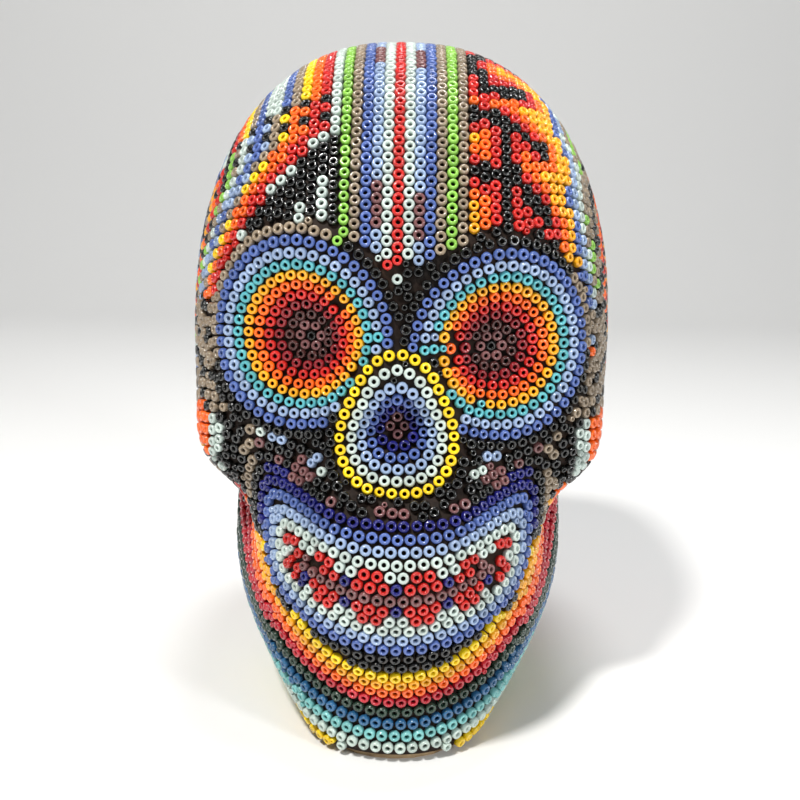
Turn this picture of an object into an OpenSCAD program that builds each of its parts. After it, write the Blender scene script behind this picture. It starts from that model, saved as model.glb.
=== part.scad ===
// Beaded skull: a hollow moulded form under a thin coat of wax, with rows of
// glass seed beads pressed into the wax, holes outward. The face looks along -Y.
// The origin is the middle of the flat base that the skull stands on.

/* [Skull] */
// Half the width of the cranium
cranium_half_w = 43.5; // [40:0.5:47]
// From the middle of the head to the forehead
forehead_reach = 50; // [47:0.5:53]
// From the middle of the head to the back of the head
occiput_reach = 56; // [52:0.5:60]
// From the middle of the head to the crown
crown_reach = 61; // [58:0.5:64]
// Height of the middle of the head above the base
centre_h = 80; // [79:0.5:81]
// Depth of the eye sockets
socket_depth = 7; // [4:0.5:8]
// Depth of the nose hollow
nose_depth = 5; // [3:0.5:5.5]

/* [Layers] */
// Thickness of the wax coat
wax_t = 1.2; // [0.8:0.1:2]
// Bare rim of the form that shows below the wax
foot_rim = 1.5; // [1:0.1:3]

/* [Beads] */
// Outer diameter of a bead
bead_d = 1.9; // [1.8:0.05:1.95]
// Length of a bead along its hole
bead_h = 1.5; // [1.2:0.1:1.7]
// Diameter of the hole through a bead
hole_d = 0.84; // [0.6:0.02:1]
// Spacing of beads along a row
pitch = 2.35; // [2.3:0.01:2.5]

/* [Hidden] */
eye_colours = ["black", "brown", "dark_brown", "dark_red", "red", "orange", "amber",
               "turquoise", "sky", "cobalt"];
nose_colours = ["brown", "navy", "cobalt", "sky", "mint", "yellow"];
mouth_parts = ["brown", "red", "navy_spacer", "mint", "sky", "cobalt", "navy"];
crown_parts = ["red", "mint", "sky", "brown_dash", "cobalt", "tan", "green"];
jaw_colours = ["yellow", "amber", "orange", "crimson", "dark_green", "steel_blue",
               "seafoam", "pale_mint"];
sides = ["left", "right"];
fields = ["forehead", "temple", "jaw"];

// ---- the skull's surface: its distance from the middle of the head, in a direction ----
middle_y = 3.7;             // puts the origin under the middle of the skull's length
middle = [0, middle_y, centre_h];
front_y = -48;              // the face's plane, from the middle of the head
eye_at = [19.8, front_y, 4.8];
eye_drop = 1.6;             // the right eye is set this much lower
eye_r = 17.6;
nose_at = [-0.5, -54, -15];
blend = 14;                 // how tightly the big forms join

function unit(v) = v / norm(v);
function axis_len(c, front, back) = c < 0 ? front : back;
function cranium(d) =
  let (x = abs(d.x) / cranium_half_w,
       y = abs(d.y) / axis_len(d.y, forehead_reach, occiput_reach),
       z = abs(d.z) / axis_len(d.z, 42, crown_reach),
       ring = pow(pow(x, 3) + pow(y, 3), 2.3 / 3))
  pow(ring + pow(z, 2.3), -1 / 2.3);
// where a ray from the middle of the head leaves an ellipsoid that holds it
function ellipsoid(d, c, r) =
  let (q = [-c.x / r.x, -c.y / r.y, -c.z / r.z],
       e = [d.x / r.x, d.y / r.y, d.z / r.z],
       a = e * e, b = e * q, k = q * q - 1)
  (-b + sqrt(max(0, b * b - a * k))) / a;
// how far a direction points from a place on the head, across and up, in mm there
function offset_from(d, at) =
  let (a = unit(at), side = unit(cross(a, [0, 0, 1])), up = cross(side, a))
  d * a <= 0 ? [1000, 1000] : norm(at) * [d * side, d * up];
function swell(d, at, w, flat = 1) =
  let (o = offset_from(d, at), t = pow(o.x / w.x, 2) + pow(o.y / w.y, 2))
  t > 30 ? 0 : exp(-pow(t, flat));
function bowl(t) = t < 1 ? pow(1 - t * t, 2) : 0;
function eye_spot(s) = [s * eye_at.x, eye_at.y, eye_at.z - (s > 0 ? eye_drop : 0)];
function face_forms(d) =
  let (nose = offset_from(d, nose_at), nt = norm([nose.x / 11, (nose.y + 2) / 13]))
  4.5 * swell(d, [0, -58, -42], [27, 17], 2)      // mouth
  + 13.5 * swell(d, [0, -47, -78], [20, 11])      // chin
  + 2 * exp(-pow((nt - 1.1) / 0.35, 2)) * (nt < 50 ? 1 : 0)
  - nose_depth * bowl(nt);
function side_forms(d, s) =
  4.5 * swell(d, [37 * s, -32, -21], [11, 10])    // cheekbone
  - 4.5 * swell(d, [36 * s, -32, -42], [9, 5])    // hollow under it
  + 3 * swell(d, [36 * s, -10, -52], [16, 14])    // angle of the jaw
  + 1.5 * swell(d, [19 * s, -50, 24], [14, 6])    // brow
  - socket_depth * bowl(norm(offset_from(d, eye_spot(s))) / eye_r);
function radius(d) =
  let (big = pow(cranium(d), blend)
             + pow(ellipsoid(d, [0, -16, -42], [33, 42, 44.5]), blend)
             + pow(ellipsoid(d, [0, 6, -28], [31, 40, 58]), blend))
  pow(big, 1 / blend) + face_forms(d) + (d.y < 0.4 ? side_forms(d, 1) + side_forms(d, -1) : 0);

// a point is moved along its ray onto the surface, at a height above it
function on_skull(p, lift = 0) = let (d = unit(p)) (radius(d) + lift) * d;
// the way the skin faces at a place, taken over a small patch or a broad one
function outward(p, h = 0.006) =
  let (d = unit(p), a = unit(cross(d, abs(d.z) < 0.9 ? [0, 0, 1] : [1, 0, 0])), b = cross(d, a),
       pa = on_skull(d + h * a) - on_skull(d - h * a),
       pb = on_skull(d + h * b) - on_skull(d - h * b),
       n = unit(cross(pa, pb)))
  n * d < 0 ? -n : n;

// ---- skins on a grid of longitudes and rows that ends at a level foot ----
lon_steps = 52;
row_steps = 30;
function dir(lon, lat) = [cos(lat) * sin(lon), -cos(lat) * cos(lon), sin(lat)];
function lon_at(i) = let (u = i * 360 / lon_steps) u - 22 * sin(u);
// the latitude at which a skin reaches a level, by halving
function foot_lat(lon, lift, level, lo = -89, hi = -10, n = 22) =
  let (mid = (lo + hi) / 2, d = dir(lon, mid))
  n == 0 ? mid
  : (radius(d) + lift) * d.z < level ? foot_lat(lon, lift, level, mid, hi, n - 1)
  : foot_lat(lon, lift, level, lo, mid, n - 1);
function skin_points(lift, level) =
  [for (j = [1:row_steps], i = [0:lon_steps - 1])
    let (lon = lon_at(i), foot = foot_lat(lon, lift, level),
         lat = 90 + (foot - 90) * j / row_steps, d = dir(lon, lat))
    (radius(d) + lift) * d];
// faces of a dome whose points start at index o, with its pole's index; flipped for the inside
function dome_faces(o, pole, flip = false) =
  [for (j = [0:row_steps - 1], i = [0:lon_steps - 1], h = [0, 1])
    let (k = (i + 1) % lon_steps,
         a = o + (j - 1) * lon_steps + i, b = o + (j - 1) * lon_steps + k,
         c = a + lon_steps, e = b + lon_steps,
         f = j == 0 ? (h == 0 ? [pole, e, c] : []) : h == 0 ? [a, b, c] : [b, e, c])
    if (len(f) > 0) flip ? [f[2], f[1], f[0]] : f];

module in_place() { translate(middle) children(); }

module core_form() {
  points = concat(skin_points(-wax_t, -centre_h), [on_skull([0, 0, 1], -wax_t)]);
  ring = (row_steps - 1) * lon_steps;
  foot = [for (i = [lon_steps - 1:-1:0]) ring + i];
  color("tan") in_place() difference() {
    polyhedron(points, concat(dome_faces(0, len(points) - 1), [foot]), convexity = 6);
    translate([0, 4, 8]) sphere(33, $fn = 64);
  }
}

module wax_coat() {
  outer = skin_points(0, foot_rim - centre_h);
  inner = skin_points(-wax_t, foot_rim - centre_h);
  n = len(outer);
  ring = (row_steps - 1) * lon_steps;
  points = concat(outer, inner, [on_skull([0, 0, 1]), on_skull([0, 0, 1], -wax_t)]);
  foot = [for (i = [0:lon_steps - 1], h = [0, 1])
    let (a = ring + i, b = ring + (i + 1) % lon_steps)
    h == 0 ? [a, b, n + b] : [a, n + b, n + a]];
  faces = concat(dome_faces(0, 2 * n), dome_faces(n, 2 * n + 1, true), foot);
  color("saddlebrown") in_place() polyhedron(points, faces, convexity = 8);
}

// ---- beads: each is a place on the skull where it stands, and the axis of its hole ----
bead_gap = 0.05;             // between a bead and the wax
eye_pull = 5;                // how far beads in a hollow turn towards its own axis
nose_pull = 3;
pull_fall = 2;               // how fast that fades towards the hollow's rim
broad = 0.06;                // elsewhere a bead follows a patch this wide, in radians
function pull_to(p, at, width, pull) =
  let (t = norm(offset_from(unit(p), at)) / width) 
  t < 1 ? pull * pow(1 - t * t, pull_fall) * outward(at) : [0, 0, 0];
function seat(p) =
  let (n = outward(p),
       pulls = pull_to(p, eye_spot(1), eye_r, eye_pull)
             + pull_to(p, eye_spot(-1), eye_r, eye_pull)
             + pull_to(p, nose_at, nose_up, nose_pull),
       axis = unit(outward(p, broad) + pulls),
       tip = bead_d / 2 * norm(cross(n, axis)) / (n * axis))
  [on_skull(p) + (bead_gap + tip) * axis, axis];
module bead(b) {
  translate(b[0] + bead_h / 2 * b[1])
    rotate([0, acos(b[1].z), atan2(b[1].y, b[1].x)])
      difference() {
        cylinder(d = bead_d, h = bead_h, center = true, $fn = 24);
        cylinder(d = hole_d, h = 2 * bead_h, center = true, $fn = 24);
      }
}
module seated_beads(beads, tint) { color(tint) in_place() for (b = beads) bead(b); }
module beads_at(places, tint) { seated_beads([for (p = places) seat(p)], tint); }
// a bead is left out where an earlier one leaves it no room
room = bead_d + 0.01;
function apart(a, b) = min(norm(a[0] - b[0]), norm(a[0] + bead_h * a[1] - b[0] - bead_h * b[1]));
function has_room(b, others) = len([for (o = others) if (apart(b, o) < room) 1]) == 0;
function with_room(beads, kept, i = 0) =
  i == len(beads) ? kept
  : with_room(beads, has_room(beads[i], kept) ? concat(kept, [beads[i]]) : kept, i + 1);

// lengths along a run of points, then a place at a given length
function run_lengths(pts, i = 0, s = 0) =
  i >= len(pts) - 1 ? [s]
  : concat([s], run_lengths(pts, i + 1, s + norm(pts[i + 1] - pts[i])));
function place_at(pts, lens, s) =
  let (t = lookup(s, [for (i = [0:len(pts) - 1]) [lens[i], i]]),
       i = min(floor(t), len(pts) - 2), f = t - i)
  pts[i] * (1 - f) + pts[i + 1] * f;
// beads spaced evenly round a closed run
function round_beads(pts) =
  let (loop = concat(pts, [pts[0]]), lens = run_lengths(loop), total = lens[len(pts)],
       count = floor(total / pitch))
  [for (k = [0:count - 1]) place_at(loop, lens, k * total / count)];
// beads at the pitch along an open run, counted from its own middle; half shifts them
function row_beads(pts, half = 0) =
  let (lens = run_lengths(pts), total = lens[len(pts) - 1],
       mid = lens[floor((len(pts) - 1) / 2)],
       first = ceil(-mid / pitch - half), last = floor((total - mid) / pitch - half))
  [for (k = [first:last]) place_at(pts, lens, mid + (k + half) * pitch)];

// rings about a place on the face, spread evenly along the surface from its middle to a rim
ring_angles = [for (a = [0:7.5:352.5]) a];
function spoke(at, rim, a, n = 20) =
  let (c = unit(at), side = unit(cross(c, [0, 0, 1])), up = cross(side, c))
  [for (i = [0:n]) on_skull(at + rim * i / n * (cos(a) * side + sin(a) * up))];
function ring(at, rims, share) =
  [for (i = [0:len(ring_angles) - 1])
    let (run = spoke(at, rims[i], ring_angles[i]), lens = run_lengths(run))
    place_at(run, lens, share * lens[len(run) - 1])];

// the nose rim is a teardrop with its point up
nose_w = 11.6;
nose_up = 18;
nose_down = 8.4;
function teardrop(a) =
  let (up = max(0, sin(a)), point = pow(up, 6))
  a > 180 ? nose_w + (nose_down - nose_w) * pow(-sin(a), 2)
  : nose_w * (1 + 0.05 * up) + (nose_up - nose_w * 1.05) * point;
function nose_rims() = [for (a = ring_angles) teardrop(a)];
nose_first = 0.7;            // the innermost ring, in rings from the middle
function nose_beads(k) =
  round_beads(ring(nose_at, nose_rims(), (k + nose_first) / (len(nose_colours) - 1 + nose_first)));
// the nose's beads in order from the middle, each with its ring
function nose_seats(k) =
  let (these = [for (p = nose_beads(k)) concat(seat(p), [k])])
  k == 0 ? these : with_room(these, nose_seats(k - 1));
nose_all = nose_seats(len(nose_colours) - 1);

// an eye's rings are wider than tall, and give way to the nose's beads
eye_w = 18.6;
eye_h = 17.9;
eye_first = 0.12;            // the first ring's distance past one ring's share
function eye_rims() = [for (a = ring_angles) 1 / norm([cos(a) / eye_w, sin(a) / eye_h])];
function eye_beads(s, k) =
  k == 0 ? [eye_spot(s)]
  : round_beads(ring(eye_spot(s), eye_rims(), (k + eye_first) / (len(eye_colours) - 1 + eye_first)));
function eye_seats(s, k) =
  let (these = [for (p = eye_beads(s, k)) concat(seat(p), [k])])
  k == 0 ? these : with_room(these, eye_seats(s, k - 1));
module eye_ring(s, k, tint) {
  seated_beads([for (b = eye_seats(s, k)) if (b[2] == k && has_room(b, nose_all)) b], tint);
}

// a point on the front of the head with a given x and z, found by sliding it in y
function front_point(x, z, y = -58, n = 5) =
  let (p = on_skull([x, y, z])) n == 0 ? p : front_point(x, z, y * norm(p) / norm([x, y, z]), n - 1);

// the mouth: loops round a smiling line, counted outward from it
smile = 0.0125;               // how fast the line rises to the sides
mouth_z = -42.4;
mouth_row = 2.1;
line_half = 18;
corner_step = 1.5;
loop_power = 0.45;           // how square the loops' ends are
flower_every = 4;            // beads from one flower to the next
function smile_point(x, up) = front_point(x, mouth_z + smile * x * x + up);
// a loop starts and ends at its top middle
function mouth_loop(k) =
  let (half_w = line_half + corner_step * k, half_h = mouth_row * k)
  [for (a = [90:3:450])
    let (c = cos(a), s = sin(a))
    smile_point(half_w * sign(c) * pow(abs(c), loop_power), half_h * sign(s) * pow(abs(s), loop_power))];
function mouth_line() = [for (i = [-20:20]) smile_point(line_half * i / 20, 0)];
// beads of a loop, each with its loop and its count from the nearer of the loop's two middles
function loop_seats(k) =
  let (loop = mouth_loop(k), lens = run_lengths(loop), total = lens[len(loop) - 1],
       half = k % 2 == 0 ? 0.5 : 0, count = 2 * floor(total / pitch / 2))
  [for (i = [0:count - 1])
    let (top = min(i, count - 2 * half - i), low = count / 2 - 2 * half - top)
    concat(seat(place_at(loop, lens, (i + half) * total / count)), [k, min(top, low)])];
function mouth_seats(k) =
  k == 0 ? [for (p = row_beads(mouth_line(), 0.5)) concat(seat(p), [0, 0])]
  : with_room(loop_seats(k), mouth_seats(k - 1));
// three petals between spacers in the first loop, and two above them in the second
function is_petal(k, j) =
  let (place = j % flower_every) k == 1 ? place != 0 : k == 2 && (place == 1 || place == 2);
function mouth_part(b) =
  let (k = b[2], petal = is_petal(k, b[3]), above = b[0].z > mouth_z + smile * b[0].x * b[0].x - 1)
  k == 0 ? "brown" : petal ? "red" : k == 1 ? "navy_spacer" : k < 4 ? "mint"
  : k == 4 ? "sky" : k == 5 ? "cobalt" : above ? "navy" : "none";

// crown columns: rows in planes across the head, from the brow over to the nape
column_w = 2.04;
columns_at = -1;             // the middle column's place across the head
column_turns = [for (a = [12:3:204]) a];
function column_point(x, a, s = 55, n = 4) =
  let (p = [x, -s * cos(a), s * sin(a)])
  n == 0 ? p : column_point(x, a, s * radius(unit(p)) / norm(p), n - 1);
eye_margin = 2.3;
function clear_of_eyes(p) =
  let (rim = [eye_w + eye_margin, eye_h + eye_margin])
  p.y > 0 || min([for (s = [-1, 1]) let (o = offset_from(unit(p), eye_spot(s)))
    norm([o.x / rim.x, o.y / rim.y])]) > 1;
brow_z = 19.5;               // lowest crown bead on the middle column
function column_beads(k) =
  let (run = [for (a = column_turns) column_point(columns_at + k * column_w, a)], half = k % 2 == 0 ? 0 : 0.5)
  [for (p = row_beads(run, half)) if (clear_of_eyes(p) && (p.y > 0 || p.z > brow_z - 0.2)) p];
dash_every = 17;
dash_first = 2;
dash_beads = 4;
function is_dash(i) = (i + dash_every - dash_first) % dash_every < dash_beads;

// jaw rows: each lies in a plane, the planes fanning from steep to shallow
jaw_rows = len(jaw_colours);
jaw_top = [0, -58.4, -59.9];
jaw_bottom = [0, -54.5, -76.4];
jaw_slopes = [1.65, 0.4];
jaw_ease = 0.6;              // how early in the fan the rows flatten
jaw_reach = 32;              // how far round each side the top row runs, in degrees
reach_step = 3.3;            // how much further each row below it runs
function plane_lat(lon, at, slope, lo = -80, hi = -8, n = 16) =
  let (mid = (lo + hi) / 2, p = radius(dir(lon, mid)) * dir(lon, mid),
       above = p.z - at.z - slope * (p.y - at.y))
  n == 0 ? mid
  : above > 0 ? plane_lat(lon, at, slope, lo, mid, n - 1)
  : plane_lat(lon, at, slope, mid, hi, n - 1);
function jaw_run(k) =
  let (f = k / (jaw_rows - 1), at = jaw_top * (1 - f) + jaw_bottom * f, g = pow(f, jaw_ease),
       slope = jaw_slopes[0] * (1 - g) + jaw_slopes[1] * g)
  [for (i = [-20:20])
    let (lon = (jaw_reach + reach_step * k) * i / 20) on_skull(dir(lon, plane_lat(lon, at, slope)))];
function jaw_beads(k) =
  [for (p = row_beads(jaw_run(k), k % 2 / 2)) if (p.z > foot_rim + 1.2 - centre_h) p];
// the jaw's top rows give way to the mouth's beads
module jaw_row(k, tint) {
  mouth = k < 3 ? [for (b = mouth_seats(6)) if (mouth_part(b) != "none") b] : [];
  seated_beads([for (p = jaw_beads(k)) let (b = seat(p)) if (has_room(b, mouth)) b], tint);
}

// ---- bead fields: the beads of a wide area, joined into one plain skin ----
field_gap = 0.1;
module skin_patch(outer, inner, nu, nv) {
  n = len(outer);
  w = nv + 1;
  cells = [for (i = [0:nu - 1], j = [0:nv - 1], h = [0, 1])
    let (a = i * w + j, b = a + w, c = b + 1, d = a + 1) h == 0 ? [a, b, c] : [a, c, d]];
  under = [for (f = cells) [n + f[2], n + f[1], n + f[0]]];
  edge = concat([for (i = [0:nu - 1]) i * w], [for (j = [0:nv - 1]) nu * w + j],
                [for (i = [nu:-1:1]) i * w + nv], [for (j = [nv:-1:1]) j]);
  wall = [for (i = [0:len(edge) - 1], h = [0, 1])
    let (a = edge[i], b = edge[(i + 1) % len(edge)])
    h == 0 ? [b, a, n + a] : [b, n + a, n + b]];
  in_place() polyhedron(concat(outer, inner), concat(cells, under, wall), convexity = 6);
}
function field_grid(us, vs, lift, by_column) =
  [for (u = us, v = vs)
    by_column ? on_skull(column_point(u, v), lift) : on_skull(dir(u, v), lift)];
function steps(lo, hi, n) = [for (i = [0:n]) lo + (hi - lo) * i / n];
module field(us, vs, by_column, tint) {
  color(tint)
    skin_patch(field_grid(us, vs, bead_h, by_column), field_grid(us, vs, field_gap, by_column),
               len(us) - 1, len(vs) - 1);
}
module side_field(side, name) {
  s = side == "left" ? -1 : 1;
  if (name == "forehead")
    field(s > 0 ? steps(34, 15.2, 6) : steps(-15.2, -34, 6), steps(150, 44, 20), true, "orange");
  if (name == "temple")
    field(s > 0 ? steps(54, 130, 16) : steps(-130, -54, 16), steps(-12, 28, 9), false, "orangered");
  if (name == "jaw")
    field(s > 0 ? steps(62, 130, 14) : steps(-130, -62, 14), steps(-52, -18, 8), false, "gold");
}

function tint(name) =
  name == "black" ? "black" : name == "brown" || name == "brown_dash" ? "rosybrown"
  : name == "dark_brown" ? "maroon" : name == "dark_red" ? "darkred"
  : name == "red" || name == "crimson" ? "crimson" : name == "orange" ? "darkorange"
  : name == "amber" ? "orange" : name == "yellow" ? "gold"
  : name == "turquoise" || name == "seafoam" ? "mediumturquoise" : name == "sky" ? "lightsteelblue"
  : name == "cobalt" ? "royalblue" : name == "navy" || name == "navy_spacer" ? "navy"
  : name == "steel_blue" ? "steelblue" : name == "tan" ? "tan"
  : name == "green" ? "yellowgreen" : name == "dark_green" ? "darkslategray" : "honeydew";

module mouth_group(name) {
  seated_beads([for (b = mouth_seats(6)) if (mouth_part(b) == name && has_room(b, nose_all)) b],
               tint(name));
}
module crown_group(name) {
  columns = name == "red" ? [0] : name == "mint" ? [-1, 1]
    : name == "sky" || name == "brown_dash" ? [-2, 2]
    : name == "cobalt" ? [-3, 3] : name == "tan" ? [-4, 4, 6] : [-5, 5];
  for (k = columns) {
    run = column_beads(k);
    beads_at([for (i = [0:len(run) - 1])
      if (abs(k) != 2 || is_dash(i) == (name == "brown_dash")) run[i]], tint(name));
  }
}

core_form();
wax_coat();
for (k = [0:len(eye_colours) - 1]) {
  eye_ring(-1, k, tint(eye_colours[k]));
  eye_ring(1, k, tint(eye_colours[k]));
}
for (k = [0:len(nose_colours) - 1])
  seated_beads([for (b = nose_all) if (b[2] == k) b], tint(nose_colours[k]));
for (name = mouth_parts)
  mouth_group(name);
for (name = crown_parts)
  crown_group(name);
for (k = [0:jaw_rows - 1])
  jaw_row(k, tint(jaw_colours[k]));
for (side = sides, name = fields)
  side_field(side, name);
field(steps(150, 210, 12), steps(-52, -26, 7), false, "orange");  // nape_bead_field
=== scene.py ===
"""The looks of a beaded skull: glass seed beads pressed into dark wax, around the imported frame.

The layout is worked out in millimetres from the middle of the head; meshes are in metres.
"""
import math

import bpy
import numpy as np
from mathutils import Matrix, Vector


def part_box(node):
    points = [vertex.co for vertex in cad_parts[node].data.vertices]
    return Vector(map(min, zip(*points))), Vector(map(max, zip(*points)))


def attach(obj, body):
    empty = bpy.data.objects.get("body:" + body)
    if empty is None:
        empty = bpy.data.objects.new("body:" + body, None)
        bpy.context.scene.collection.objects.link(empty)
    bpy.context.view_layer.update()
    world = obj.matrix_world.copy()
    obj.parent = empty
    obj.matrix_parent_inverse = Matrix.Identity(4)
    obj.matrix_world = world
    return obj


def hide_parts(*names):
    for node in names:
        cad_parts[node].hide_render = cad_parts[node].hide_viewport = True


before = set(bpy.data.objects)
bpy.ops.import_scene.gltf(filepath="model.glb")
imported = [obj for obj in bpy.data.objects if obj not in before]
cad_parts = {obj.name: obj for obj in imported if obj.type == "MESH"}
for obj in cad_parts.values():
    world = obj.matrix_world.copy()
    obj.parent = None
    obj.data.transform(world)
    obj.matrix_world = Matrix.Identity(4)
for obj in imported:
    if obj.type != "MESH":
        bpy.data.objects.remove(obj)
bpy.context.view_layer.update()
MM = 0.001

# ---- the skull's driving sizes, as in the frame ----
CRANIUM_HALF_W, FOREHEAD, OCCIPUT, CROWN, UNDER = 43.5, 50.0, 56.0, 61.0, 42.0
SOCKET_DEPTH, NOSE_DEPTH = 7.0, 5.0
EYE_SPOTS = {-1: np.array([-19.8, -48.0, 4.8]), 1: np.array([19.8, -48.0, 3.2])}
EYE_R, EYE_W, EYE_H = 17.6, 18.6, 17.9
NOSE_AT = np.array([-0.5, -54.0, -15.0])
NOSE_W, NOSE_UP, NOSE_DOWN = 11.6, 18.0, 8.4
WAX_T, FOOT_RIM = 1.2, 1.5
BEAD_H, PITCH, COLUMN_W, MOUTH_ROW = 1.5, 2.35, 2.04, 2.1
WAX_HIGH = np.array(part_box("wax_coat")[1]) / MM
MIDDLE = np.round([0.0, WAX_HIGH[1] - OCCIPUT, WAX_HIGH[2] - CROWN], 1)
FOOT_Z = FOOT_RIM - MIDDLE[2]
BLEND = 14  # how tightly the big forms join
ROUND_ACROSS, ROUND_UP = 3, 2.3  # how square the cranium is, from above and from the side
JAW_FORM = ([0, -16, -42], [33, 42, 44.5])  # middle and half sizes
NECK_FORM = ([0, 6, -28], [31, 40, 58])
FAR = 1000.0  # more than any distance on the head

# ---- the skull's surface: its distance from the middle of the head, in each direction ----


def unit(v):
    return v / np.linalg.norm(v, axis=-1, keepdims=True)


def heading(lon, lat):
    """Directions at longitudes and latitudes in radians; longitude 0 is the way the face looks."""
    return np.stack([np.cos(lat) * np.sin(lon), -np.cos(lat) * np.cos(lon), np.sin(lat)], -1)


def offset_from(d, at):
    """How far directions point from a place on the head, across and up, in mm there."""
    reach = np.linalg.norm(at)
    a = at / reach
    side = unit(np.cross(a, [0.0, 0.0, 1.0]))
    up = np.cross(side, a)
    off = reach * np.stack([d @ side, d @ up], -1)
    off[d @ a <= 0] = FAR
    return off


def cranium(d):
    """The distance to the cranium's surface, a squared-off egg."""
    x = np.abs(d[:, 0]) / CRANIUM_HALF_W
    y = np.abs(d[:, 1]) / np.where(d[:, 1] < 0, FOREHEAD, OCCIPUT)
    z = np.abs(d[:, 2]) / np.where(d[:, 2] < 0, UNDER, CROWN)
    ring = (x**ROUND_ACROSS + y**ROUND_ACROSS) ** (ROUND_UP / ROUND_ACROSS)
    return (ring + z**ROUND_UP) ** (-1 / ROUND_UP)


def ellipsoid(d, centre, radii):
    """Where a ray from the middle of the head leaves an ellipsoid that holds it."""
    q, e = -np.array(centre) / radii, d / np.array(radii)
    a, b, k = (e * e).sum(1), e @ q, q @ q - 1
    return (-b + np.sqrt(np.maximum(0, b * b - a * k))) / a


def swell(d, at, width, flat=1):
    """A smooth swelling round a place, from 0 to 1; its width is given across and up."""
    t = ((offset_from(d, np.array(at, float)) / width) ** 2).sum(1)
    return np.where(t > 30, 0, np.exp(-np.minimum(t, 30) ** flat))


def bowl(t):
    """A smooth hollow, from 1 in its middle to 0 at its rim, where t is 1."""
    return np.where(t < 1, (1 - np.minimum(t, 1) ** 2) ** 2, 0)


def face_forms(d):
    """Mouth, chin and nose, in mm proud of the big form."""
    off = offset_from(d, NOSE_AT)
    nt = np.hypot(off[:, 0] / 11, (off[:, 1] + 2) / 13)
    mouth = 4.5 * swell(d, [0, -58, -42], [27, 17], 2)
    chin = 13.5 * swell(d, [0, -47, -78], [20, 11])
    rim = 2 * np.exp(-(((np.minimum(nt, 50) - 1.1) / 0.35) ** 2))
    return mouth + chin + rim - NOSE_DEPTH * bowl(nt)


def side_forms(d, s):
    """One side's cheekbone, hollow, jaw angle, brow and socket, in mm proud of the big form."""
    cheekbone = 4.5 * swell(d, [37 * s, -32, -21], [11, 10])
    hollow = 4.5 * swell(d, [36 * s, -32, -42], [9, 5])
    jaw_angle = 3 * swell(d, [36 * s, -10, -52], [16, 14])
    brow = 1.5 * swell(d, [19 * s, -50, 24], [14, 6])
    eye = np.hypot(*offset_from(d, EYE_SPOTS[s]).T) / EYE_R
    return cheekbone - hollow + jaw_angle + brow - SOCKET_DEPTH * bowl(eye)


def radius(d, features=True):
    """The skull's distance from its middle; without features it is the plain big form."""
    big = cranium(d) ** BLEND + ellipsoid(d, *JAW_FORM) ** BLEND
    big = (big + ellipsoid(d, *NECK_FORM) ** BLEND) ** (1 / BLEND)
    if not features:
        return big
    sides = np.where(d[:, 1] < 0.4, side_forms(d, 1) + side_forms(d, -1), 0)
    return big + face_forms(d) + sides


def on_skull(p, lift=0.0, features=True):
    """Points moved along their rays onto the surface, or to a height above it."""
    d = unit(np.atleast_2d(np.asarray(p, float)))
    return (radius(d, features) + lift)[:, None] * d


def outward(p, step=0.006, features=True):
    """The way the skin faces at each place, over a small patch or a broad one."""
    d = unit(np.atleast_2d(np.asarray(p, float)))
    helper = np.where(np.abs(d[:, 2:]) < 0.9, [[0.0, 0.0, 1.0]], [[1.0, 0.0, 0.0]])
    a = unit(np.cross(d, helper))
    b = np.cross(d, a)
    across = on_skull(d + step * a, 0, features) - on_skull(d - step * a, 0, features)
    along = on_skull(d + step * b, 0, features) - on_skull(d - step * b, 0, features)
    n = unit(np.cross(across, along))
    return n * np.where((n * d).sum(1) < 0, -1, 1)[:, None]


EYE_PULL, NOSE_PULL = 5.0, 3.0  # how strongly beads in a hollow lean to its own direction
LEAN_PATCH = 0.06  # the part of the skin whose facing sets a bead's lean, in radians
SEAT_R, SEAT_GAP = 0.95, 0.05  # radius of a frame's bead and the gap under it


def seats(places):
    """Where beads stand on the skull, and the axes of their holes."""
    p = np.atleast_2d(np.asarray(places, float))
    n = outward(p)
    pull = np.zeros_like(n)
    hollows = [(EYE_SPOTS[s], EYE_R, EYE_PULL) for s in (-1, 1)] + [(NOSE_AT, NOSE_UP, NOSE_PULL)]
    for at, width, strength in hollows:
        t = np.hypot(*offset_from(unit(p), at).T) / width
        pull += np.where(t < 1, strength * (1 - t * t) ** 2, 0)[:, None] * outward(at)
    axis = unit(outward(p, LEAN_PATCH) + pull)
    cosine = np.maximum((n * axis).sum(1), 0.5)
    tip = SEAT_R * np.sqrt(1 - np.minimum(cosine, 1) ** 2) / cosine
    return on_skull(p) + (SEAT_GAP + tip)[:, None] * axis, axis


# ---- runs of points and even spacing along them ----


def lengths(run):
    """The way along a run to each of its points."""
    return np.concatenate([[0], np.cumsum(np.linalg.norm(np.diff(run, axis=0), axis=1))])


def at_lengths(run, s):
    """Points at given lengths along a run."""
    have = lengths(run)
    return np.stack([np.interp(s, have, run[:, i]) for i in range(3)], -1)


def spaced(run, half=0.0, pitch=PITCH):
    """Places at the pitch along an open run, counted from its own middle."""
    have = lengths(run)
    mid = have[len(run) // 2]
    first, last = math.ceil(-mid / pitch - half), math.floor((have[-1] - mid) / pitch - half)
    return at_lengths(run, mid + (np.arange(first, last + 1) + half) * pitch)


# ---- the beads laid so far ----
ROOM = 2.02  # least distance between beads' middles in a row
GAP_ROOM, SMALL_ROOM = 1.93, 1.72  # the same for odd beads in gaps, and for small ones
FOOT_ROOM = 0.9  # least height of a bead's foot above the wax's lower edge
CELL = 2.5


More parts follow.
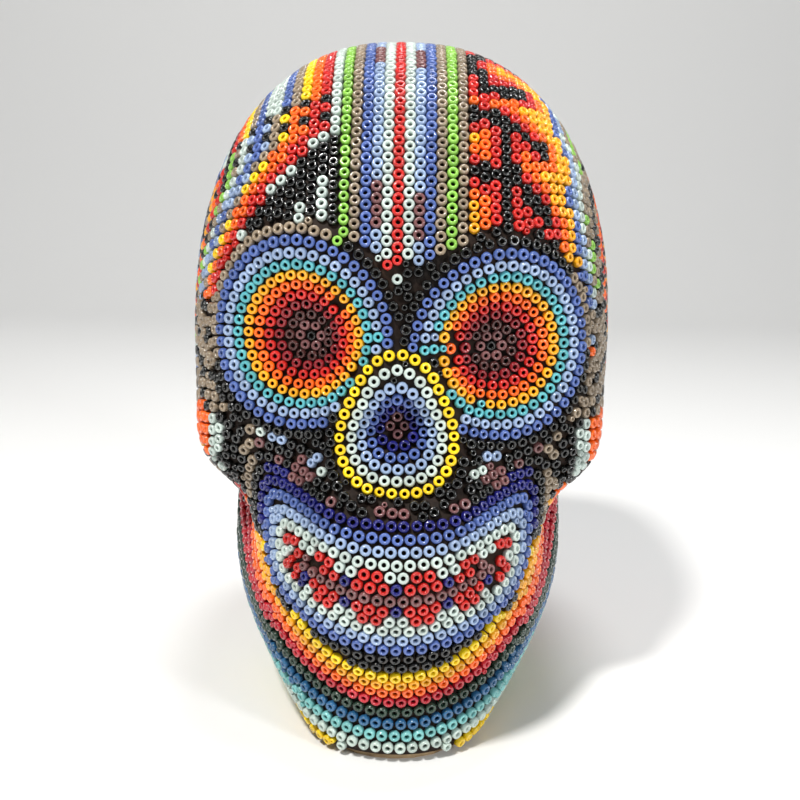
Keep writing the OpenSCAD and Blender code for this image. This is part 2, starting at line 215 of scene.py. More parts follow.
class Layout:
    """Beads on the skull: where each stands, its axis and its piece; no two too close."""

    def __init__(self):
        self.base, self.axis, self.piece, self.cells = [], [], [], {}

    def mids(self):
        return np.array(self.base) + BEAD_H / 2 * np.array(self.axis)

    def cell(self, p):
        return tuple(int(c) for c in np.floor(p / CELL))

    def nearest(self, p):
        """The nearest bead's number and distance, among those in reach of a cell."""
        found, best = None, FAR
        x, y, z = self.cell(p)
        for i in (x - 1, x, x + 1):
            for j in (y - 1, y, y + 1):
                for k in (z - 1, z, z + 1):
                    for number, q in self.cells.get((i, j, k), ()):
                        gap = math.dist(p, q)
                        if gap < best:
                            found, best = number, gap
        return found, best

    def add(self, base, axis, piece):
        mid = base + BEAD_H / 2 * axis
        self.cells.setdefault(self.cell(mid), []).append((len(self.base), tuple(mid)))
        self.base.append(base)
        self.axis.append(axis)
        self.piece.append(piece)

    def offer(self, places, piece_of, room=ROOM):
        """Lays a bead at each place that has room. piece_of(i, place, near) names its piece."""
        if len(places) == 0:
            return
        bases, axes = seats(places)
        for i, (base, axis) in enumerate(zip(bases, axes)):
            if base[2] < FOOT_Z + FOOT_ROOM:
                continue
            near, gap = self.nearest(base + BEAD_H / 2 * axis)
            if gap >= room:
                name = piece_of(i, base, near)
                if name:
                    self.add(base, axis, name)


layout = Layout()


def joined(count, tris):
    """A number for each point that says which solid it's part of."""
    label = np.arange(count)
    while True:
        low = label[tris].min(1)
        new = label.copy()
        for i in range(3):
            np.minimum.at(new, tris[:, i], low)
        new = new[new]
        if (new == label).all():
            return label
        label = new


def solid_middles(node):
    """The middle and the hole's axis of each separate ring in a CAD node."""
    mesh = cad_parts[node].data
    co = np.zeros(len(mesh.vertices) * 3)
    mesh.vertices.foreach_get("co", co)
    points, same = np.unique(np.round(co.reshape(-1, 3) / MM, 3), axis=0, return_inverse=True)
    mesh.calc_loop_triangles()
    tris = np.zeros(len(mesh.loop_triangles) * 3, int)
    mesh.loop_triangles.foreach_get("vertices", tris)
    tris = same.reshape(-1)[tris].reshape(-1, 3)
    label = joined(len(points), tris)
    found = []
    for part in np.unique(label):
        ring = points[label == part]
        middle = (ring.min(0) + ring.max(0)) / 2
        axis = np.linalg.eigh(np.cov((ring - middle).T))[1][:, 2]
        found.append((middle, axis))
    return found


def lay_cad_beads():
    """Beads of the frame's own nodes keep their places. Left and right eyes share a piece."""
    for node in sorted(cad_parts):
        if not node.endswith("_beads"):
            continue
        piece = node.replace("left_", "").replace("right_", "")
        for middle, axis in solid_middles(node):
            p = middle - MIDDLE
            axis = axis if outward(p)[0] @ axis > 0 else -axis
            layout.add(p - BEAD_H / 2 * axis, axis, piece)


# ---- rows on the face that the frame leaves out ----
MOUTH_Z, SMILE, LINE_HALF, CORNER_STEP, LOOP_POWER = -42.4, 0.0125, 18.0, 1.5, 0.45
FACE_Y = -58.0  # where the search for a point on the face starts
SLIDES = 6  # steps in that search
SURROUND = 2.2  # from a rim to the row outside it
ALL_ROUND = np.arange(0.0, 361, 5)  # degrees


def front_points(x, z):
    """Points on the front of the head with given x and z, found by sliding them in y."""
    y = np.full_like(x, FACE_Y)
    for _ in range(SLIDES):
        q = np.stack([x, y, z], -1)
        p = on_skull(q)
        y = y * np.linalg.norm(p, axis=1) / np.linalg.norm(q, axis=1)
    return p


def mouth_loop(k, first, last):
    """Part of a loop round the mouth, from one angle to another, in degrees."""
    a = np.radians(np.linspace(first, last, 81))
    c, s = np.cos(a), np.sin(a)
    x = (LINE_HALF + CORNER_STEP * k) * np.sign(c) * np.abs(c) ** LOOP_POWER
    up = MOUTH_ROW * k * np.sign(s) * np.abs(s) ** LOOP_POWER
    return front_points(x, MOUTH_Z + SMILE * x * x + up)


def ring_round(at, rims, angles):
    """Points at a rim's distance round a place on the face."""
    c = at / np.linalg.norm(at)
    side = unit(np.cross(c, [0.0, 0.0, 1.0]))
    up = np.cross(side, c)
    a = np.radians(angles)[:, None]
    return on_skull(at + np.asarray(rims)[:, None] * (np.cos(a) * side + np.sin(a) * up))


def teardrop(angles):
    """The nose's rim: its distance from the nose's middle, at angles in degrees."""
    a = np.radians(angles)
    up = np.maximum(0, np.sin(a))
    top = NOSE_W * (1 + 0.05 * up) + (NOSE_UP - NOSE_W * 1.05) * up**6
    return np.where(angles > 180, NOSE_W + (NOSE_DOWN - NOSE_W) * np.sin(a) ** 2, top)


def eye_rim(angles):
    """An eye's rim, likewise."""
    a = np.radians(angles)
    return 1 / np.hypot(np.cos(a) / EYE_W, np.sin(a) / EYE_H)


def lay_eye_surrounds():
    """One row outside each eye: tan round the outer side, black elsewhere."""
    for s in (-1, 1):
        run = ring_round(EYE_SPOTS[s], eye_rim(ALL_ROUND) + SURROUND, ALL_ROUND)

        def piece(i, p, near, s=s):
            out, up = s * (p - EYE_SPOTS[s])[[0, 2]] * [1, s]
            tan = out > -8 and up > -6 if s < 0 else out > 12 and up > -2
            return "face_tan_beads" if tan else "face_black_beads"

        layout.offer(spaced(run), piece)


def lay_nose_surround():
    """One black row outside the nose."""
    run = ring_round(NOSE_AT, teardrop(ALL_ROUND) + SURROUND, ALL_ROUND)
    layout.offer(spaced(run), lambda i, p, near: "face_black_beads")


# loops are counted from the mouth's line; the frame has those inside this one and its upper half
OUTER_LOOP, LAST_LOOP = 6, 18


def lay_mouth_surround():
    """Rows beyond the mouth: two black ones below it, then cheek rows over it."""
    for k in (OUTER_LOOP, OUTER_LOOP + 1):
        low = mouth_loop(k, 180, 360)
        layout.offer(spaced(low, k % 2 / 2), lambda i, p, near: "face_black_beads")
    for k in range(OUTER_LOOP, LAST_LOOP + 1):
        run = mouth_loop(k, 180, 0) if k > OUTER_LOOP + 1 else mouth_loop(k, 200, -20)
        layout.offer(spaced(run, k % 2 / 2), lambda i, p, near: cheek_piece(p))


STEP_COLOURS = ["black", "brown", "brown", "mint", "sky", "black", "black"]
OUTER_STRIPES = [(38, "orange"), (35.5, "mint"), (31, "black"), (29, "tan")]  # from x outward
CHEEK_SIDE, CHEEK_TOP = 29, -12  # tan rows beside the eyes lie beyond these
NAVY_HALF, BROWN_HALF = 27, 14  # how far the rows above the mouth reach from the middle
# the steps: where they start, their spacing, their length and how far each row shifts them
STEP_FROM, STEP_REPEAT, STEP_LENGTH, STEP_SHIFT = 9, 10, 5.6, 2.2


def cheek_piece(p):
    """The colour of a bead in the cheeks: black, with groups of colour that step outward."""
    out = abs(p[0])
    row = round((p[2] - MOUTH_Z - SMILE * p[0] ** 2) / MOUTH_ROW) - OUTER_LOOP
    if out > CHEEK_SIDE and p[2] > CHEEK_TOP:
        return "face_black_beads" if row % 3 == 0 else "face_tan_beads"
    for reach, colour in OUTER_STRIPES:
        if out > reach:
            return f"face_{colour}_beads"
    if row < 1:
        return "face_navy_beads" if row == 0 and out < NAVY_HALF else "face_black_beads"
    if row < 2 and out < BROWN_HALF:
        return "face_brown_beads"
    step = (out + STEP_SHIFT * row) % STEP_REPEAT
    if step < STEP_LENGTH and out > STEP_FROM and row < len(STEP_COLOURS):
        return f"face_{STEP_COLOURS[row]}_beads"
    return "face_black_beads"


# ---- columns over the crown and the panels beside it ----
COLUMNS_AT = -1.0  # the middle column's place across the head
CROWN_COLOURS = ["red", "mint", "sky", "cobalt", "tan", "green", "tan"]
FIRST_COLUMN, LAST_COLUMN = -5, 6
FRONT_ARC, REAR_ARC = (-30, 26), (196, 262)  # where the frame's columns stop, in degrees
COLUMN_REACH = 55.0  # where the search for a column's points starts
PALE_Z = 15.5  # between the eyes, the middle column's one pale bead is above this


def column(x, first, last, step=3.0):
    """Points of a plane column across the head, from low in front, over the crown, to the nape."""
    a = np.radians(np.arange(first, last + step, step))
    s = np.full_like(a, COLUMN_REACH)
    for _ in range(SLIDES):
        q = np.stack([np.full_like(a, x + COLUMNS_AT), -s * np.cos(a), s * np.sin(a)], -1)
        s = s * radius(unit(q)) / np.linalg.norm(q, axis=1)
    return q


def glabella_piece(k, p):
    """Black between the eyes, but for one pale bead under the red column."""
    return "face_mint_beads" if k == 0 and p[2] > PALE_Z else "face_black_beads"


def lay_crown_ends():
    """The crown's columns carried on: black between the eyes, their own colours at the nape."""
    for k in range(FIRST_COLUMN, LAST_COLUMN + 1):
        half = 0 if k % 2 == 0 else 0.5
        colour = CROWN_COLOURS[abs(k)]
        front = spaced(column(k * COLUMN_W, *FRONT_ARC), half)
        layout.offer(front, lambda i, p, near, k=k: glabella_piece(k, p))
        back = spaced(column(k * COLUMN_W, *REAR_ARC), half)
        layout.offer(back, lambda i, p, near, c=colour: f"rear_{c}_beads")


FOLD = 20  # beads from one fold of the panels' pattern to the next
BROW_BEADS = 15.5  # beads from the brow to the line that all columns are counted from
BANDS = ["black", "red", "orange", "amber", "amber", "cobalt", "sky", "mint", "tan", "green"]
LOW_BANDS = ["tan", "black", "tan", "black", "orange", "red", "black", "tan", "amber", "orange"]
LEFT_BANDS = ["mint", "red", "red", "orange", "orange", "yellow", "tan", "sky", "cobalt", "sky",
              "mint", "tan", "green", "black", "red", "orange", "amber", "tan", "black",
              "cobalt", "sky", "mint", "tan", "black", "orange", "red", "black"]
LEFT_ARCH = ["mint", "red", "orange", "yellow", "tan", "cobalt", "mint", "mint", "cobalt",
             "tan", "yellow", "orange", "red", "black", "mint", "sky", "cobalt", "tan",
             "amber", "orange", "red", "black"]


def folded(v):
    """The pattern runs up from the brow, then back and forth between folds."""
    return FOLD - abs(FOLD - v % (2 * FOLD))


def low_colour(u, v):
    """Below the brow, arcs run down beside the eyes, cut by black every few beads."""
    if int(v) % 9 == 0:
        return "black"
    return LOW_BANDS[int(u) % len(LOW_BANDS)]


def left_colour(u, v):
    """Left panel: black by the crown, then bands beyond a line that falls to the left."""
    if v < -1:
        return low_colour(u, v)
    w = folded(v)
    edge = 1 + max(0, 10.6 - w) * 1.4
    band = round(u - edge)
    if band < 0:
        dots = (u == 2 and 2 <= w < 7) or (u == 4 and 1.5 <= w < 5)
        return "mint" if dots else "black" if w > 1.2 else "tan"
    if abs(w - 12) < 0.5 or abs(w - 14) < 0.5:
        return "black"
    colours = LEFT_ARCH if w > 14 else LEFT_BANDS
    return colours[band % len(colours)]


# the black figure, as lines between places given in columns outward and beads upward
TREE = [((3.9, -1.0), (3.9, 12.2)), ((1.5, 6.9), (3.9, 6.9)), ((-1.0, 12.4), (3.9, 12.4)),
        ((3.9, 8.2), (8.2, 4.6)), ((7.0, 3.2), (10.5, 0.0)), ((3.9, 12.2), (7.5, 11.0)),
        ((2.2, 15.6), (6.0, 17.0)), ((2.2, 15.6), (1.0, 20.0))]


TREE_HALF, BAND_STEP = 0.75, 1.35  # half the width of its lines; bands to a bead beyond them


def to_segment(p, ends):
    """How far a place is from a line between two others."""
    a, b = np.array(ends)
    t = np.clip((p - a) @ (b - a) / ((b - a) @ (b - a)), 0, 1)
    return np.linalg.norm(p - a - t * (b - a))


def right_colour(u, v):
    """Right panel: bands nested round a black branching figure, out to cool colours."""
    if v < -1:
        return low_colour(u + 4, v)
    p = np.array([u, folded(v)])
    near = min(to_segment(p, ends) for ends in TREE)
    band = 0 if near < TREE_HALF else 1 + int((near - TREE_HALF) * BAND_STEP)
    return BANDS[band] if band < len(BANDS) else LOW_BANDS[band % len(LOW_BANDS)]


def next_column(run, side, anchor):
    """The column one step further out over the plain big form, evenly respaced."""
    along = unit(np.gradient(run, axis=0))
    out = unit(np.cross(outward(run, 0.02, False), along))
    out *= np.sign(out[anchor, 0]) * side
    moved = on_skull(run + COLUMN_W * out, 0, False)
    kept = moved.copy()
    for _ in range(3):
        kept[1:-1] = (moved[:-2] + 2 * moved[1:-1] + moved[2:]) / 4
        moved = kept.copy()
    have = lengths(moved) - lengths(moved)[anchor]
    count_down, count_up = int(-have[0] / PITCH), int(have[-1] / PITCH)
    s = np.arange(-count_down, count_up + 1) * PITCH
    return on_skull(at_lengths(moved, s - have[0]), 0, False), count_down


LOWEST, LEVEL, NAPE = -80, 60, 262  # a column's ends and the place it's counted from, in degrees


def crown_edge(first):
    """The crown's last column on one side, evenly spaced, and the number of its bead at the level."""
    start = column(first * COLUMN_W, LOWEST, NAPE, 1.0)
    have = lengths(start) - lengths(start)[LEVEL - LOWEST]
    s = np.arange(int(have[0] / PITCH), int(have[-1] / PITCH) + 1) * PITCH
    return at_lengths(start, s - have[0]), -int(have[0] / PITCH)


def lay_panels(columns=34, shortest=8):
    """Columns stepped out from the crown's last one, down to the side of the head."""
    for side, first, colour_of in ((-1, FIRST_COLUMN, left_colour), (1, LAST_COLUMN, right_colour)):
        run, anchor = crown_edge(first)
        for u in range(1, columns + 1):
            run, anchor = next_column(run, side, anchor)
            if len(run) < shortest:
                break
            half = (u + first) % 2 / 2
            places = (run[:-1] * (1 - half) + run[1:] * half) if half else run
            v0 = BROW_BEADS + half - anchor

            def piece(i, p, near, u=u, v0=v0, side=side, colour_of=colour_of):
                where = "left" if side < 0 else "right"
                return f"{where}_{colour_of(u, v0 + i)}_beads"

            layout.offer(places, piece)


# ---- the jaw ----
JAW_TOP, JAW_BOTTOM = np.array([0, -58.4, -59.9]), np.array([0, -54.5, -76.4])
JAW_SLOPES, JAW_EASE = (1.65, 0.4), 0.6
JAW_COLOURS = ["yellow", "amber", "orange", "crimson", "dark_green", "steel_blue", "seafoam",
               "pale_mint", "yellow", "green", "crimson"]
FRAME_ROWS = 7  # steps from the frame's first row to its last
RAMUS_Z = -35.0  # the jaw's rows end at this height
UNDER_MOUTH = 24  # the first row gives way to the mouth this far from the middle
HALVINGS = 18


def jaw_run(row, reach=96.0):
    """A row of the fan across the jaw, at a row number that need not be whole."""
    f = row / FRAME_ROWS
    at = JAW_TOP * (1 - f) + JAW_BOTTOM * f
    slope = JAW_SLOPES[0] + (JAW_SLOPES[1] - JAW_SLOPES[0]) * f**JAW_EASE
    lon = np.radians(np.linspace(-reach, reach, 121))
    low, high = np.full_like(lon, -80.0), np.full_like(lon, -8.0)
    for _ in range(HALVINGS):
        d = heading(lon, np.radians((low + high) / 2))
        p = radius(d)[:, None] * d
        above = p[:, 2] - at[2] - slope * (p[:, 1] - at[1]) > 0
        high, low = np.where(above, (low + high) / 2, high), np.where(above, low, (low + high) / 2)
    return on_skull(d)


def lay_jaw():
    """The frame's rows carried round to the ramus, with more rows where the fan opens."""
    rows = [(k, k) for k in range(0, 11)] + [(k + 0.5, k) for k in range(0, 9)]
    rows += [(k + q, k) for k in range(0, 8) for q in (0.25, 0.75)]
    for row, k in rows:
        run = jaw_run(row)
        run = run[run[:, 2] < RAMUS_Z]
        if len(run) < 4:
            continue

        def piece(i, p, near, k=k):
            if p[2] > RAMUS_Z or (k == 0 and abs(p[0]) < UNDER_MOUTH):
                return None
            return f"jaw_{JAW_COLOURS[k]}_beads"

        layout.offer(spaced(run, k % 2 / 2), piece)


def lay_fillers(room, count=70000):
    """Odd beads wherever a gap is left, in their neighbour's colour, as a maker would."""
    i = np.arange(count) + 0.5
    z = 1 - 2 * i / count
    turn = np.pi * (1 + math.sqrt(5)) * i
    r = np.sqrt(1 - z * z)
    d = np.stack([r * np.cos(turn), r * np.sin(turn), z], -1)
    layout.offer(on_skull(d), lambda i, p, near: loose_piece(near), room)


def loose_piece(near):
    """The piece of an odd bead: its neighbour's, or one of the face's beside an eye or the nose."""
    if near is None:
        return "rear_tan_beads"
    name = layout.piece[near]
    region, colour = name.split("_", 1)
    if region == "eye":
        return f"face_{colour}" if colour.split("_")[0] in ("sky", "cobalt", "turquoise") else None
    return "face_black_beads" if region == "nose" else name


lay_cad_beads()
lay_eye_surrounds()
lay_nose_surround()
lay_mouth_surround()
lay_crown_ends()
lay_jaw()
lay_panels()
lay_fillers(GAP_ROOM)
FULL_SIZE = len(layout.base)  # beads laid after this are small ones, fitted into gaps
lay_fillers(SMALL_ROOM)

# ---- materials ----
PALETTE = {
    "black": (13, 13, 12), "brown": (112, 72, 72), "brown_dash": (112, 72, 72),
    "dark_brown": (66, 34, 32), "dark_red": (128, 24, 32), "red": (192, 34, 28),
    "orange": (245, 100, 20), "amber": (236, 164, 22), "yellow": (248, 204, 18),
    "turquoise": (84, 168, 176), "sky": (142, 162, 193), "cobalt": (77, 99, 160),
    "navy": (24, 26, 104), "navy_spacer": (24, 26, 104), "mint": (187, 200, 193),
    "tan": (142, 126, 106), "green": (134, 188, 74), "crimson": (180, 28, 44),
    "dark_green": (36, 58, 46), "steel_blue": (42, 94, 136), "seafoam": (114, 180, 178),
    "pale_mint": (184, 199, 190),
}
# the wax's two patch tones: its own dark brown, painted darker as painted shade for the gaps between
# the beads
WAX_DARK_PAINTED_SHADE, WAX_LIGHT_PAINTED_SHADE = (19, 12, 8), (44, 28, 18)
FORM_DARK, FORM_LIGHT = (150, 122, 88), (196, 168, 128)


def linear(rgb):
    """sRGB bytes as linear light."""
    share = np.array(rgb) / 255
    return tuple(np.where(share > 0.04045, ((share + 0.055) / 1.055) ** 2.4, share / 12.92))


def new_material(name):
    mat = bpy.data.materials.new(name)
    mat.use_nodes = True
    tree = mat.node_tree
    shader = tree.nodes["Principled BSDF"]
    return mat, tree, shader


def add_noise(tree, scale, detail=3.0):
    coords = tree.nodes.new("ShaderNodeTexCoord")
    noise = tree.nodes.new("ShaderNodeTexNoise")
    noise.inputs["Scale"].default_value = scale
    noise.inputs["Detail"].default_value = detail
    tree.links.new(coords.outputs["Object"], noise.inputs["Vector"])
    return noise.outputs["Fac"]


def add_ramp(tree, factor, stops):
    ramp = tree.nodes.new("ShaderNodeValToRGB")
    for element, (place, colour) in zip(ramp.color_ramp.elements, stops):
        element.position = place
        element.color = (*colour, 1)
    tree.links.new(factor, ramp.inputs["Fac"])
    return ramp.outputs["Color"]


def add_bump(tree, shader, height, strength, distance):
    bump = tree.nodes.new("ShaderNodeBump")
    bump.inputs["Strength"].default_value = strength
    bump.inputs["Distance"].default_value = distance
    tree.links.new(height, bump.inputs["Height"])
    tree.links.new(bump.outputs["Normal"], shader.inputs["Normal"])


def map_range(tree, value, low, high):
    node = tree.nodes.new("ShaderNodeMapRange")
    node.inputs["To Min"].default_value = low
    node.inputs["To Max"].default_value = high
    tree.links.new(value, node.inputs["Value"])
    return node.outputs["Result"]


def glass(name):
    """Opaque pressed glass: each bead a shade of its own, faintly clouded, with a wet gloss."""
    mat, tree, shader = new_material(f"glass_{name}")
    colour = np.array(linear(PALETTE[name]))
    shade = tree.nodes.new("ShaderNodeAttribute")
    shade.attribute_name = "shade"
    cloud = add_noise(tree, 420.0)
    mix = tree.nodes.new("ShaderNodeMath")
    mix.operation = "MULTIPLY_ADD"
    mix.inputs[1].default_value = 0.35
    tree.links.new(cloud, mix.inputs[0])
    tree.links.new(shade.outputs["Fac"], mix.inputs[2])
    dark, light = colour * 0.74, np.minimum(colour * 1.16 + 0.004, 1)
    tree.links.new(add_ramp(tree, mix.outputs["Value"], [(0.05, dark), (1.0, light)]),
                   shader.inputs["Base Color"])
    gloss = (0.05, 0.16) if name == "black" else (0.08, 0.22)
    tree.links.new(map_range(tree, cloud, *gloss), shader.inputs["Roughness"])
    shader.inputs["Coat Weight"].default_value = 0.5
    shader.inputs["Coat Roughness"].default_value = 0.06
    add_bump(tree, shader, add_noise(tree, 2600.0, 2.0), 0.12, 0.00004)
    return mat


def wax():
    """Beeswax, patchy and dull, with fine dents; dark brown of its own, painted darker still as
    painted shade for the gaps between the beads.
    """
    mat, tree, shader = new_material("beeswax")
    patches = add_noise(tree, 90.0, 6.0)
    # both tones carry painted shade: the wax is painted darker than its own colour, for the gaps
    # between the beads
    shades = [(0.3, linear(WAX_DARK_PAINTED_SHADE)), (0.7, linear(WAX_LIGHT_PAINTED_SHADE))]
    tree.links.new(add_ramp(tree, patches, shades), shader.inputs["Base Color"])
    tree.links.new(map_range(tree, patches, 0.55, 0.75), shader.inputs["Roughness"])
    shader.inputs["Specular IOR Level"].default_value = 0.2
    shader.inputs["Subsurface Weight"].default_value = 0.05
    shader.inputs["Subsurface Scale"].default_value = 0.001
    add_bump(tree, shader, add_noise(tree, 1100.0, 4.0), 0.4, 0.0002)
    return mat


def moulded_form():
    """The bare form at the foot: a pale, slightly fibrous moulding."""
    mat, tree, shader = new_material("moulded_form")
    fibre = add_noise(tree, 260.0, 8.0)
    shades = [(0.3, linear(FORM_DARK)), (0.72, linear(FORM_LIGHT))]
    tree.links.new(add_ramp(tree, fibre, shades), shader.inputs["Base Color"])
    tree.links.new(map_range(tree, fibre, 0.7, 0.9), shader.inputs["Roughness"])
    add_bump(tree, shader, add_noise(tree, 700.0, 6.0), 0.5, 0.0003)
    return mat


# ---- meshes ----


def make_piece(name, points, faces, material):
    """A mesh piece from points in metres and faces that all have the same number of corners."""
    mesh = bpy.data.meshes.new(name)
    sides = faces.shape[1]
    mesh.vertices.add(len(points))
    mesh.vertices.foreach_set("co", points.astype(np.float32).ravel())
    mesh.loops.add(faces.size)
    mesh.loops.foreach_set("vertex_index", faces.astype(np.int32).ravel())
    mesh.polygons.add(len(faces))
    mesh.polygons.foreach_set("loop_start", np.arange(0, faces.size, sides, dtype=np.int32))
    mesh.update(calc_edges=True)
    mesh.polygons.foreach_set("use_smooth", np.ones(len(faces), bool))
    mesh.materials.append(material)
    mesh.validate()
    piece = bpy.data.objects.new(name, mesh)
    bpy.context.scene.collection.objects.link(piece)
    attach(piece, "root")
    return piece


# a bead's section, as shares of its radius and its length, from its outer foot round to its bore
BEAD_SECTION = [(0.90, 0.0), (1.0, 0.30), (1.0, 0.66), (0.88, 0.93), (0.68, 1.0), (0.47, 0.92),
                (0.38, 0.68), (0.37, 0.0)]
BEAD_SIDES = 12
BEAD_R, REACH = 1.16, 2.4  # the widest bead's radius, and how far its neighbours are looked for
SQUEEZE = 1.01  # beads that touch bite this much into each other
UNEVEN_WIDTH, UNEVEN_LENGTH, UNEVEN_LEAN = (0.975, 1.0), (0.94, 1.04), 0.035
SEED = 7


def bead_template():
    """One bead's points, with radius and length 1, and its faces."""
    a = np.arange(BEAD_SIDES) * 2 * np.pi / BEAD_SIDES
    points = [(r * math.cos(t), r * math.sin(t), h) for t in a for r, h in BEAD_SECTION]
    n = len(BEAD_SECTION)
    faces = [(i * n + j, ((i + 1) % BEAD_SIDES) * n + j,
              ((i + 1) % BEAD_SIDES) * n + (j + 1) % n, i * n + (j + 1) % n)
             for i in range(BEAD_SIDES) for j in range(n)]
    return np.array(points), np.array(faces)


def bead_radii():
    """Each bead as wide as its neighbours allow. Small ones take the room that is left."""
    mids = layout.mids()
    order = np.argsort(mids[:, 2])
    z = mids[order, 2]
    radii = np.full(len(mids), BEAD_R)
    for small in (False, True):
        for i in range(FULL_SIZE if small else 0, len(mids) if small else FULL_SIZE):
            low, high = np.searchsorted(z, (mids[i, 2] - REACH, mids[i, 2] + REACH))
            near = order[low:high]
            near = near[(near != i) & (near < (i if small else FULL_SIZE))]
            gap = np.linalg.norm(mids[near] - mids[i], axis=1)
            room = gap - radii[near] if small else gap / 2
            radii[i] = min(BEAD_R, SQUEEZE * room.min()) if len(near) else BEAD_R
    return radii


def bead_points(random, template, base, axis, radii):
    """The points of beads where they stand, each a little uneven in width, lean and length."""
    r = radii * random.uniform(*UNEVEN_WIDTH, len(base))
    helper = np.where(np.abs(axis[:, :1]) < 0.9, [[1.0, 0.0, 0.0]], [[0.0, 1.0, 0.0]])
    side = unit(np.cross(axis, helper))
    up = np.cross(axis, side)
    axis = unit(axis + random.normal(0, UNEVEN_LEAN, axis.shape))
    height = BEAD_H * random.uniform(*UNEVEN_LENGTH, len(base))
    points = (base[:, None] + (side * r[:, None])[:, None] * template[None, :, :1]
              + (up * r[:, None])[:, None] * template[None, :, 1:2]
              + (axis * height[:, None])[:, None] * template[None, :, 2:])
    return (points.reshape(-1, 3) + MIDDLE) * MM


def stood_for(piece_name):
    """The CAD nodes whose beads are in a piece."""
    return [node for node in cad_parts
            if node.replace("left_", "").replace("right_", "") == piece_name]


def make_beads():
    """One piece for each group of beads, with a shade for each bead."""
    random = np.random.default_rng(SEED)
    base, axis = np.array(layout.base), np.array(layout.axis)
    names, radii = np.array(layout.piece), bead_radii()
    template, faces = bead_template()
    for name in sorted(set(layout.piece)):
        mine = names == name
        count = mine.sum()
        points = bead_points(random, template, base[mine], axis[mine], radii[mine])
        quads = (faces[None] + (np.arange(count) * len(template))[:, None, None]).reshape(-1, 4)
        colour = name.split("_", 1)[1].replace("_beads", "")
        piece = make_piece(name, points, quads, glass_for(colour))
        shades = np.repeat(random.uniform(0.1, 0.8, count), len(template)).astype(np.float32)
        piece.data.attributes.new("shade", "FLOAT", "POINT").data.foreach_set("value", shades)
        nodes = stood_for(name)
        if nodes:
            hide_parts(*nodes)


made = {}


def glass_for(colour):
    if colour not in made:
        made[colour] = glass(colour)
    return made[colour]


WAX_LIFT, WAX_INSIDE = 0.3, -WAX_T + 0.02  # the wax's two skins, from the skull's surface
LATS = (-89.0, -10.0)  # the wax's lower edge lies between these
FINE_HALVINGS = 24


def foot_latitudes(lon, up):
    """Where a skin reaches the wax's lower edge, in degrees, at each longitude."""
    low, high = (np.full(len(lon), end) for end in LATS)
    for _ in range(FINE_HALVINGS):
        d = heading(lon, np.radians((low + high) / 2))
        under = (radius(d) + up) * d[:, 2] < FOOT_Z
        low, high = np.where(under, (low + high) / 2, low), np.where(under, high, (low + high) / 2)
    return (low + high) / 2


def wax_skin(lon, rows, up):
    """Points of a skin in rows from the crown down to the wax's lower edge."""
    foot = foot_latitudes(lon, up)
    lat = np.radians(90 + (foot - 90) * (np.arange(1, rows + 1)[:, None] / rows))
    return on_skull(heading(np.broadcast_to(lon, lat.shape), lat).reshape(-1, 3), up)


def wax_faces(lons, rows):
    """Triangles over the outer skin, the inner one, the edge between them and the two poles."""
    n = lons * rows
    i, j = np.meshgrid(np.arange(lons), np.arange(rows - 1))
    k = (i + 1) % lons
    quad = np.stack([j * lons + i, (j + 1) * lons + i, (j + 1) * lons + k, j * lons + k], -1)
    quad = quad.reshape(-1, 4)
    first, after = np.arange(lons), (np.arange(lons) + 1) % lons
    edge, next_edge = (rows - 1) * lons + first, (rows - 1) * lons + after
    rim = np.stack([edge, edge + n, next_edge + n, next_edge], -1)
    cap = np.stack([first, after], -1)
    tris = []
    for q in (quad, quad[:, ::-1] + n, rim):
        tris += [q[:, [0, 1, 2]], q[:, [0, 2, 3]]]
    tris.append(np.column_stack([cap, np.full(lons, 2 * n)]))
    tris.append(np.column_stack([cap[:, ::-1] + n, np.full(lons, 2 * n + 1)]))
    return np.concatenate(tris)


def make_wax(lons=200, rows=120):
    """The wax, a closed skin from the form out to a little way up the beads."""
    u = np.arange(lons) * 2 * np.pi / lons
    lon = u - math.radians(22) * np.sin(u)  # closer together over the face
    heights = (WAX_LIFT, WAX_INSIDE)
    skins = [wax_skin(lon, rows, up) for up in heights]
    poles = [on_skull([0, 0, 1], up) for up in heights]
    points = np.concatenate(skins + poles)
    piece = make_piece("wax", (points + MIDDLE) * MM, wax_faces(lons, rows), wax())
    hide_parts("wax_coat")


# the piece that stands for each bead field of the frame
FIELDS = {"left_forehead": "left_orange", "right_forehead": "right_orange", "left_temple": "left_red",
          "right_temple": "right_red", "left_jaw": "left_amber", "right_jaw": "right_amber",
          "nape": "rear_green"}

make_beads()
make_wax()
for field, piece in FIELDS.items():
    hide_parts(f"{field}_bead_field")
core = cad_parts["core_form"]
core.data.materials.clear()
core.data.materials.append(moulded_form())

# ---- stage ----


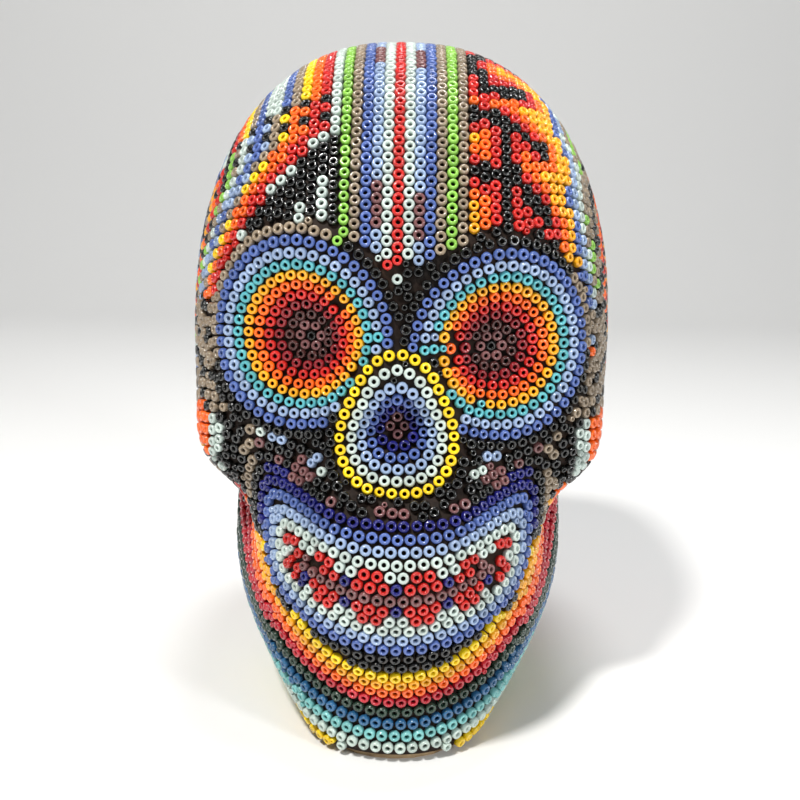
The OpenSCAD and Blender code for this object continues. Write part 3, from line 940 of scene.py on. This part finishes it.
def make_floor():
    """A pale floor that bends up into a backdrop."""
    mesh = bpy.data.meshes.new("floor")
    reach, back, rise, bend = 1.6, 0.9, 1.4, 0.35
    profile = [(-reach, 0.0), (back - bend, 0.0)]
    turns = np.radians(np.arange(3, 91, 3))
    profile += [(back - bend + bend * math.sin(t), bend - bend * math.cos(t)) for t in turns]
    profile.append((back, rise))
    points = [(x, y, z) for y, z in profile for x in (-reach, reach)]
    faces = [(2 * i, 2 * i + 1, 2 * i + 3, 2 * i + 2) for i in range(len(profile) - 1)]
    mesh.from_pydata(points, [], faces)
    mesh.polygons.foreach_set("use_smooth", np.ones(len(faces), bool))
    mat, tree, shader = new_material("floor")
    shader.inputs["Base Color"].default_value = (0.9, 0.9, 0.89, 1)
    shader.inputs["Roughness"].default_value = 0.7
    mesh.materials.append(mat)
    floor = bpy.data.objects.new("floor", mesh)
    bpy.context.scene.collection.objects.link(floor)


def add_light(name, place, aim, size, power, colour=(1, 1, 1)):
    light = bpy.data.lights.new(name, "AREA")
    light.shape = "DISK"
    light.size, light.energy, light.color = size, power, colour
    lamp = bpy.data.objects.new(name, light)
    lamp.location = place
    lamp.rotation_euler = (Vector(aim) - Vector(place)).to_track_quat("-Z", "Y").to_euler()
    bpy.context.scene.collection.objects.link(lamp)


def add_camera(aim, distance, elevation, roll, lens):
    """The camera looks along +Y and down; roll leans the head's top to the picture's right."""
    e, r = math.radians(elevation), math.radians(roll)
    back = Vector((0, -math.cos(e), math.sin(e)))
    right = Vector((1, 0, 0))
    up = back.cross(right)
    right, up = right * math.cos(r) + up * math.sin(r), up * math.cos(r) - right * math.sin(r)
    data = bpy.data.cameras.new("camera")
    data.lens, data.sensor_width = lens, 36.0
    data.clip_start = 0.01
    camera = bpy.data.objects.new("camera", data)
    turn = Matrix((right, up, back)).transposed().to_4x4()
    camera.matrix_world = Matrix.Translation(Vector(aim) + back * distance) @ turn
    bpy.context.scene.collection.objects.link(camera)
    bpy.context.scene.camera = camera


def add_world():
    world = bpy.data.worlds.new("studio")
    world.use_nodes = True
    background = world.node_tree.nodes["Background"]
    background.inputs["Color"].default_value = (0.95, 0.97, 1.0, 1)
    background.inputs["Strength"].default_value = 0.2
    bpy.context.scene.world = world


VIEW_Z, VIEW_BACK = 62.9, 2.0  # the camera aims at this height, this far in front of the middle
AIM = (0, (MIDDLE[1] - VIEW_BACK) * MM, VIEW_Z * MM)
make_floor()
add_world()
add_light("key", (-0.22, -0.42, 0.72), AIM, size=0.1, power=6.4, colour=(1.0, 0.98, 0.95))
add_light("fill", (0.42, -0.5, 0.3), AIM, size=0.12, power=1.7, colour=(0.94, 0.97, 1.0))
add_light("top", (0.05, 0.05, 0.7), AIM, size=0.2, power=2.3)
add_camera(AIM, distance=0.289, elevation=12.0, roll=1.0, lens=56.25)
bpy.context.scene.view_settings.view_transform = "Standard"
